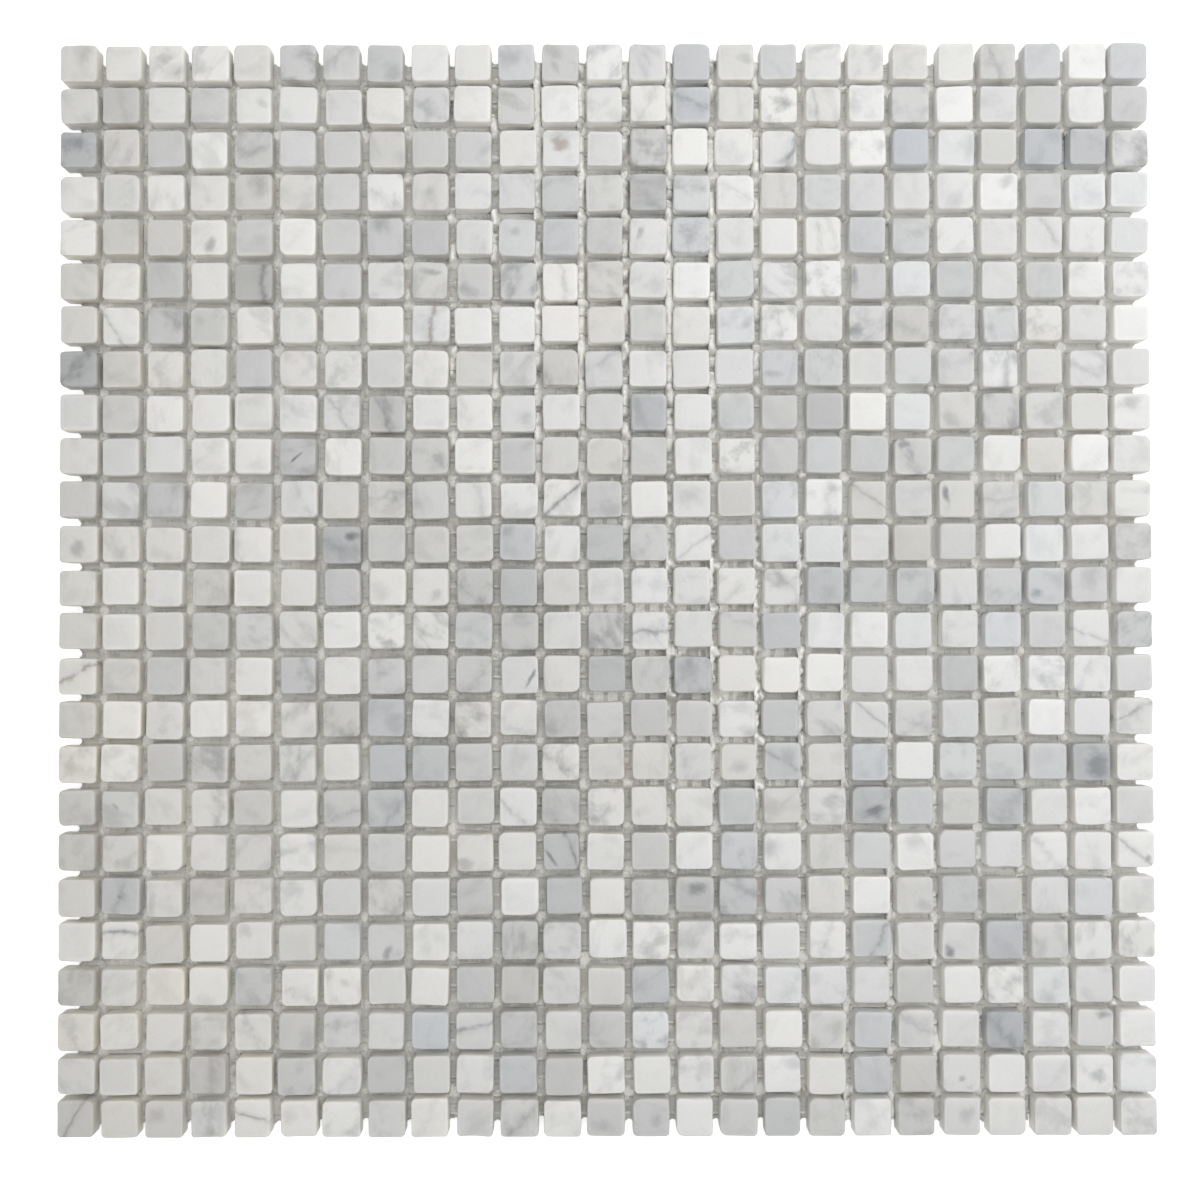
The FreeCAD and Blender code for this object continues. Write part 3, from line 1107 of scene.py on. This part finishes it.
def glue_material():
    """Dull tile glue on the mesh: cream and granular where it is thick, olive grey where it is a film.

    Its kind is below zero in the level joints, the lower the darker, zero on the back and one in the
    upright joints, where it rises to two at knots.
    """
    g = Graph("tile_glue")
    place = g.place()
    cream, shadow_bands, kind = g.parts(g.attribute("glue_look"))
    upright = g.ramp(kind, *UPRIGHT)
    x, y, _ = g.parts(place)
    mottle = g.noise(place, GLUE_MOTTLE_SCALE, 2.0, 0.6)
    grains = g.noise(place, GLUE_GRAIN_SCALE, 2.0, 0.7)

    weft = g.math("WRAP", g.shaken(y, mottle, WEFT_WANDER), -WEFT_PITCH / 2, WEFT_PITCH / 2)
    knot = g.times(g.ramp(weft, *KNOT_LOW), g.ramp(weft, *KNOT_HIGH))
    knot = g.times(knot, g.ramp(kind, *KNOTTED))
    # Painted shadow: a dark band just below each knot in the upright joints.
    shadow_band = g.times(g.ramp(weft, *SHADOW_BAND_HIGH), g.ramp(weft, *SHADOW_BAND_LOW))
    shadow_band = g.times(g.times(shadow_band, g.ramp(shadow_bands, *SHADOW_BAND_PART)), upright)
    warp = g.ramp(g.math("PINGPONG", g.shaken(x, mottle, WARP_WANDER), WARP_PITCH / 2), *WARP_EDGE)
    warp = g.times(warp, g.ramp(kind, *NOT_UPRIGHT))

    creamy = g.math("SUBTRACT", g.shaken(cream, mottle, CREAM_RAGGED), warp)
    creamy = g.math("MAXIMUM", g.ramp(creamy, *CREAM_PART), knot)
    chalky = g.math("MAXIMUM", g.ramp(cream, *CHALK_PART), g.times(knot, KNOT_CHALK))
    grainy = g.ramp(grains, *GRAIN_PART)
    bright = g.mix(chalky, g.mix(grainy, CREAM_DULL, CREAM), g.mix(grainy, CHALK_DULL, CHALK))

    long_over_joint = g.mix(upright, LONG_IN_Y, LONG_IN_X)
    threads = g.noise(g.vector_math("MULTIPLY", place, long_over_joint), THREAD_SCALE, 1.0, 0.6)
    streaks = g.noise(g.vector_math("MULTIPLY", place, LONG_IN_X[:3]), STREAK_SCALE, 1.0, 0.5)
    ribs = g.shaken(g.times(threads, THREADS), streaks, STREAKS)
    ribs = g.math("SUBTRACT", ribs, g.ramp(kind, *RIBS_BY_KIND))
    film = g.math("ADD", g.ramp(kind, *FILM_BY_KIND), g.math("ADD", ribs, mottle))
    film = g.mix(g.ramp(film, *FILM_PART), OLIVE_DARK, OLIVE)
    film = g.mix(g.ramp(g.noise(place, TAN_SCALE, 1.0, 0.5), *TAN_PART), film, TAN)

    # The painted shadow darkens the glue below the knots.
    colour = g.mix(g.times(shadow_band, PAINTED_SHADOW_STRENGTH), g.mix(creamy, film, bright), PAINTED_SHADOW)
    rough = g.math("MULTIPLY_ADD", grains, g.math("MULTIPLY_ADD", creamy, 0.8, 0.2), mottle)
    return g.surface(colour, rough, strength=0.6, depth=0.25 * MM, roughness=0.5, specular=0.4)


def mesh_material():
    """Glass yarn in dull resin, olive grey and mottled."""
    g = Graph("resin_coated_mesh")
    mottle = g.noise(g.place(), MESH_MOTTLE_SCALE, 3.0, 0.6)
    colour = g.mix(g.ramp(mottle, 0.3, 0.7), YARN_DARK, YARN)
    return g.surface(colour, mottle, strength=0.5, depth=0.2 * MM, roughness=0.5, specular=0.5)


# Floor, even light and lamps, in metres and watts
FLOOR_HALF = 3.0
FLOOR_COLOUR = (0.80, 0.80, 0.79, 1)
FLOOR_GLOW = 0.6
WHITE_LIGHT = (1, 1, 1, 1)
WORLD_LEVEL = 0.08
LAMPS = (
    # name, place, size, watts
    ("key", (0.27, 0.23, 0.42), 0.94, 2.79),
    ("fill", (-1.33, -1.27, 2.2), 1.7, 26.2),
    ("top", (0.04, 0.14, 2.2), 1.0, 12.6),
)

# Camera, in metres, degrees and millimetres of film
CAMERA_PLACE = (-0.00706, -0.01155, 0.5486)
CAMERA_TURN = (1.3182, -0.0455, -0.1607)
CAMERA_LENS = 58.556
CAMERA_SENSOR = 36.0
CAMERA_SHIFT = (0.01509, -0.0136)
CAMERA_CLIP = (0.01, 20.0)


def make_floor():
    """A plain white floor, a little lit for the camera alone so that it reads as a white page."""
    bpy.ops.mesh.primitive_plane_add(size=2 * FLOOR_HALF)
    floor = bpy.context.object
    floor.name = "floor"
    g = Graph("white_floor")
    matt = g.add("ShaderNodeBsdfDiffuse", Color=FLOOR_COLOUR)
    ray = g.add("ShaderNodeLightPath").outputs
    seen = g.math("MAXIMUM", ray["Is Camera Ray"], ray["Is Glossy Ray"])
    seen = g.math("MAXIMUM", seen, ray["Is Transmission Ray"])
    strength = g.times(seen, FLOOR_GLOW)
    glow = g.add("ShaderNodeEmission", Color=WHITE_LIGHT, Strength=strength)
    both = g.add("ShaderNodeAddShader")
    g.put(both, 0, matt.outputs[0])
    g.put(both, 1, glow.outputs[0])
    floor.data.materials.append(g.output(both))


def make_world():
    """Even white light from all round."""
    world = bpy.data.worlds.new("studio")
    bpy.context.scene.world = world
    world.use_nodes = True
    background = world.node_tree.nodes["Background"]
    background.inputs["Color"].default_value = WHITE_LIGHT
    background.inputs["Strength"].default_value = WORLD_LEVEL


def make_lamp(name, place, size, watts):
    """A round soft lamp aimed at the middle of the sheet."""
    data = bpy.data.lights.new(name, "AREA")
    data.shape = "DISK"
    data.size = size
    data.energy = watts
    lamp = bpy.data.objects.new(name, data)
    lamp.location = place
    lamp.rotation_euler = (-lamp.location).to_track_quat("-Z", "Y").to_euler()
    bpy.context.scene.collection.objects.link(lamp)


def make_camera():
    """Straight above the sheet, a little below its middle, with the photograph's framing."""
    data = bpy.data.cameras.new("camera")
    data.lens = CAMERA_LENS
    data.sensor_width = CAMERA_SENSOR
    data.sensor_fit = "HORIZONTAL"
    data.shift_x, data.shift_y = CAMERA_SHIFT
    data.clip_start, data.clip_end = CAMERA_CLIP
    camera = bpy.data.objects.new("camera", data)
    camera.location = CAMERA_PLACE
    camera.rotation_euler = [math.radians(angle) for angle in CAMERA_TURN]
    bpy.context.scene.collection.objects.link(camera)
    bpy.context.scene.camera = camera


def main():
    bpy.context.scene.view_settings.view_transform = "Standard"
    marble = marble_material()
    traits = chip_traits()
    looks = stone_colours()
    for row in range(ROW_COUNT):
        make_row(row, traits, looks, marble)
    glue = glue_material()
    fields = glue_fields()
    make_glue_columns(fields, glue)
    make_glue_rows(fields, glue)
    make_glue_back(fields, glue)
    mesh = mesh_material()
    for name in MESH_NODES:
        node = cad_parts[name]
        node.data.materials.clear()
        node.data.materials.append(mesh)
    make_floor()
    make_world()
    for lamp in LAMPS:
        make_lamp(*lamp)
    make_camera()


main()
